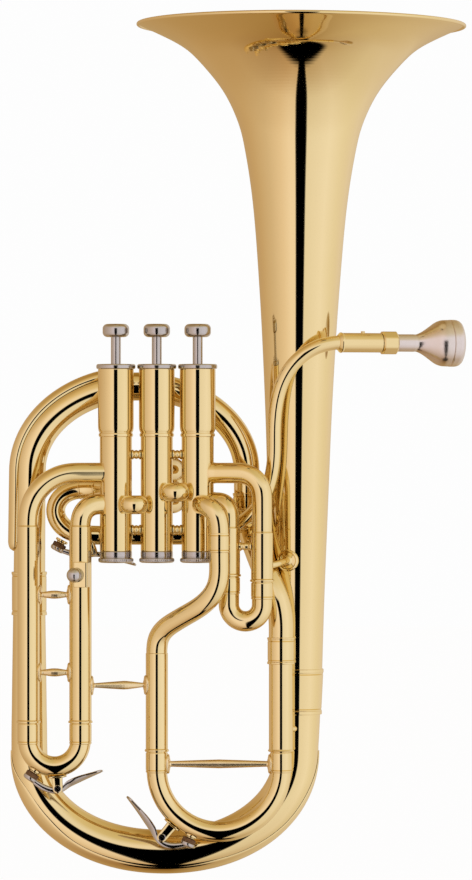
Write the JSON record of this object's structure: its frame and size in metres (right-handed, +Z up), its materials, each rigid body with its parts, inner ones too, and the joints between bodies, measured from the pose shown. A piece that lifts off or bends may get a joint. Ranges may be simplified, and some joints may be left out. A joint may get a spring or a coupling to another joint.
{
  "type": "baritone horn",
  "caption": "Upright brass horn with a flared bell, piston valves, valve slides with water keys, a tuning slide and a cup mouthpiece.",
  "frame": {"origin": "middle of the footprint, at the height of the lowest point of the bottom bow", "axes": "+Z up out of the bell, -Y towards the side with the valve knuckles, +X towards the mouthpiece"},
  "size_m": [0.3208, 0.2308, 0.5961],
  "materials": {
    "lacquered_brass": "clear lacquer over polished brass",
    "nickel_plate": "polished nickel plate",
    "silver_plate": "polished silver plate",
    "monel": "lapped valve metal",
    "spring_steel": "drawn spring wire",
    "felt": "pressed felt",
    "cork": "sanded cork"
  },
  "bodies": {
    "root": {"bell": "lacquered_brass", "bell_ferrule": "lacquered_brass", "bottom_bow": "lacquered_brass", "bow_guard": "lacquered_brass", "branch_ferrule": "lacquered_brass", "top_bow": "lacquered_brass", "top_bow_guard": "lacquered_brass", "down_tube_ferrule": "lacquered_brass", "down_tube": "lacquered_brass", "tuning_ferrule": "lacquered_brass", "tuning_outer_tubes": "lacquered_brass", "gooseneck": "lacquered_brass", "third_outer_tubes": "lacquered_brass", "first_outer_tubes": "lacquered_brass", "second_outer_tubes": "lacquered_brass", "leadpipe": "lacquered_brass", "mouthpiece_receiver": "lacquered_brass", "third_slide_braces": "lacquered_brass", "cross_brace": "lacquered_brass", "bell_brace": "lacquered_brass", "casing_braces": "lacquered_brass", "valve_knuckles": "lacquered_brass", "lyre_holder": "lacquered_brass", "valve_casing_1": "lacquered_brass", "top_cap_1": "nickel_plate", "bottom_cap_1": "nickel_plate", "valve_spring_1": "spring_steel", "valve_casing_2": "lacquered_brass", "top_cap_2": "nickel_plate", "bottom_cap_2": "nickel_plate", "valve_spring_2": "spring_steel", "valve_casing_3": "lacquered_brass", "top_cap_3": "nickel_plate", "bottom_cap_3": "nickel_plate", "valve_spring_3": "spring_steel"},
    "valve_1": {"piston_1": "monel", "valve_stem_1": "nickel_plate", "finger_button_1": "nickel_plate", "valve_felt_1": "felt"},
    "valve_2": {"piston_2": "monel", "valve_stem_2": "nickel_plate", "finger_button_2": "nickel_plate", "valve_felt_2": "felt"},
    "valve_3": {"piston_3": "monel", "valve_stem_3": "nickel_plate", "finger_button_3": "nickel_plate", "valve_felt_3": "felt"},
    "main_slide": {"tuning_slide": "lacquered_brass", "tuning_slide_brace": "lacquered_brass"},
    "slide_1": {"first_slide": "lacquered_brass"},
    "slide_2": {"second_slide": "lacquered_brass"},
    "slide_3": {"third_slide": "lacquered_brass"},
    "main_key": {"main_key_lever": "nickel_plate", "main_key_cork": "cork"},
    "third_key": {"third_key_lever": "nickel_plate", "third_key_cork": "cork"},
    "lead_key": {"lead_key_lever": "nickel_plate", "lead_key_cork": "cork"},
    "mouthpiece": {"mouthpiece": "silver_plate"},
    "lyre_screw": {"lyre_screw": "nickel_plate"}
  },
  "joints": [
    {"name": "valve_1_press", "type": "slide", "parent": "root", "child": "valve_1", "axis": [0, 0, -1], "range_m": [0, 0.016], "stiffness_N_per_m": 150, "springref_m": -0.03, "deforming": ["valve_spring_1"]},
    {"name": "valve_2_press", "type": "slide", "parent": "root", "child": "valve_2", "axis": [0, 0, -1], "range_m": [0, 0.016], "stiffness_N_per_m": 150, "springref_m": -0.03, "deforming": ["valve_spring_2"]},
    {"name": "valve_3_press", "type": "slide", "parent": "root", "child": "valve_3", "axis": [0, 0, -1], "range_m": [0, 0.016], "stiffness_N_per_m": 150, "springref_m": -0.03, "deforming": ["valve_spring_3"]},
    {"name": "main_slide_pull", "type": "slide", "parent": "root", "child": "main_slide", "axis": [0, 0, -1], "range_m": [0, 0.035]},
    {"name": "slide_1_pull", "type": "slide", "parent": "root", "child": "slide_1", "axis": [0, 0, -1], "range_m": [0, 0.015]},
    {"name": "slide_2_pull", "type": "slide", "parent": "root", "child": "slide_2", "axis": [0, 1, 0], "range_m": [0, 0.01]},
    {"name": "slide_3_pull", "type": "slide", "parent": "root", "child": "slide_3", "axis": [0, 0, -1], "range_m": [0, 0.06]},
    {"name": "main_key_press", "type": "hinge", "parent": "main_slide", "child": "main_key", "pos_m": [-0.0522, -0.0255, 0.0278], "axis": [0, 1, 0], "range_deg": [0, 12], "stiffness_Nm_per_rad": 0.08, "springref_deg": -20.05},
    {"name": "third_key_press", "type": "hinge", "parent": "slide_3", "child": "third_key", "pos_m": [-0.1243, -0.035, 0.0622], "axis": [0, -1, 0], "range_deg": [0, 12], "stiffness_Nm_per_rad": 0.08, "springref_deg": -20.05},
    {"name": "lead_key_press", "type": "hinge", "parent": "root", "child": "lead_key", "pos_m": [-0.101, -0.0095, 0.2258], "axis": [0, -1, 0], "range_deg": [0, 12], "stiffness_Nm_per_rad": 0.08, "springref_deg": -20.05},
    {"name": "mouthpiece_pull", "type": "slide", "parent": "root", "child": "mouthpiece", "axis": [0.9511, 0.309, 0], "range_m": [0, 0.03]},
    {"name": "lyre_screw_turn", "type": "hinge", "parent": "root", "child": "lyre_screw", "pos_m": [-0.1074, -0.0479, 0.2105], "axis": [-0.5, -0.866, 0], "continuous": true}
  ]
}
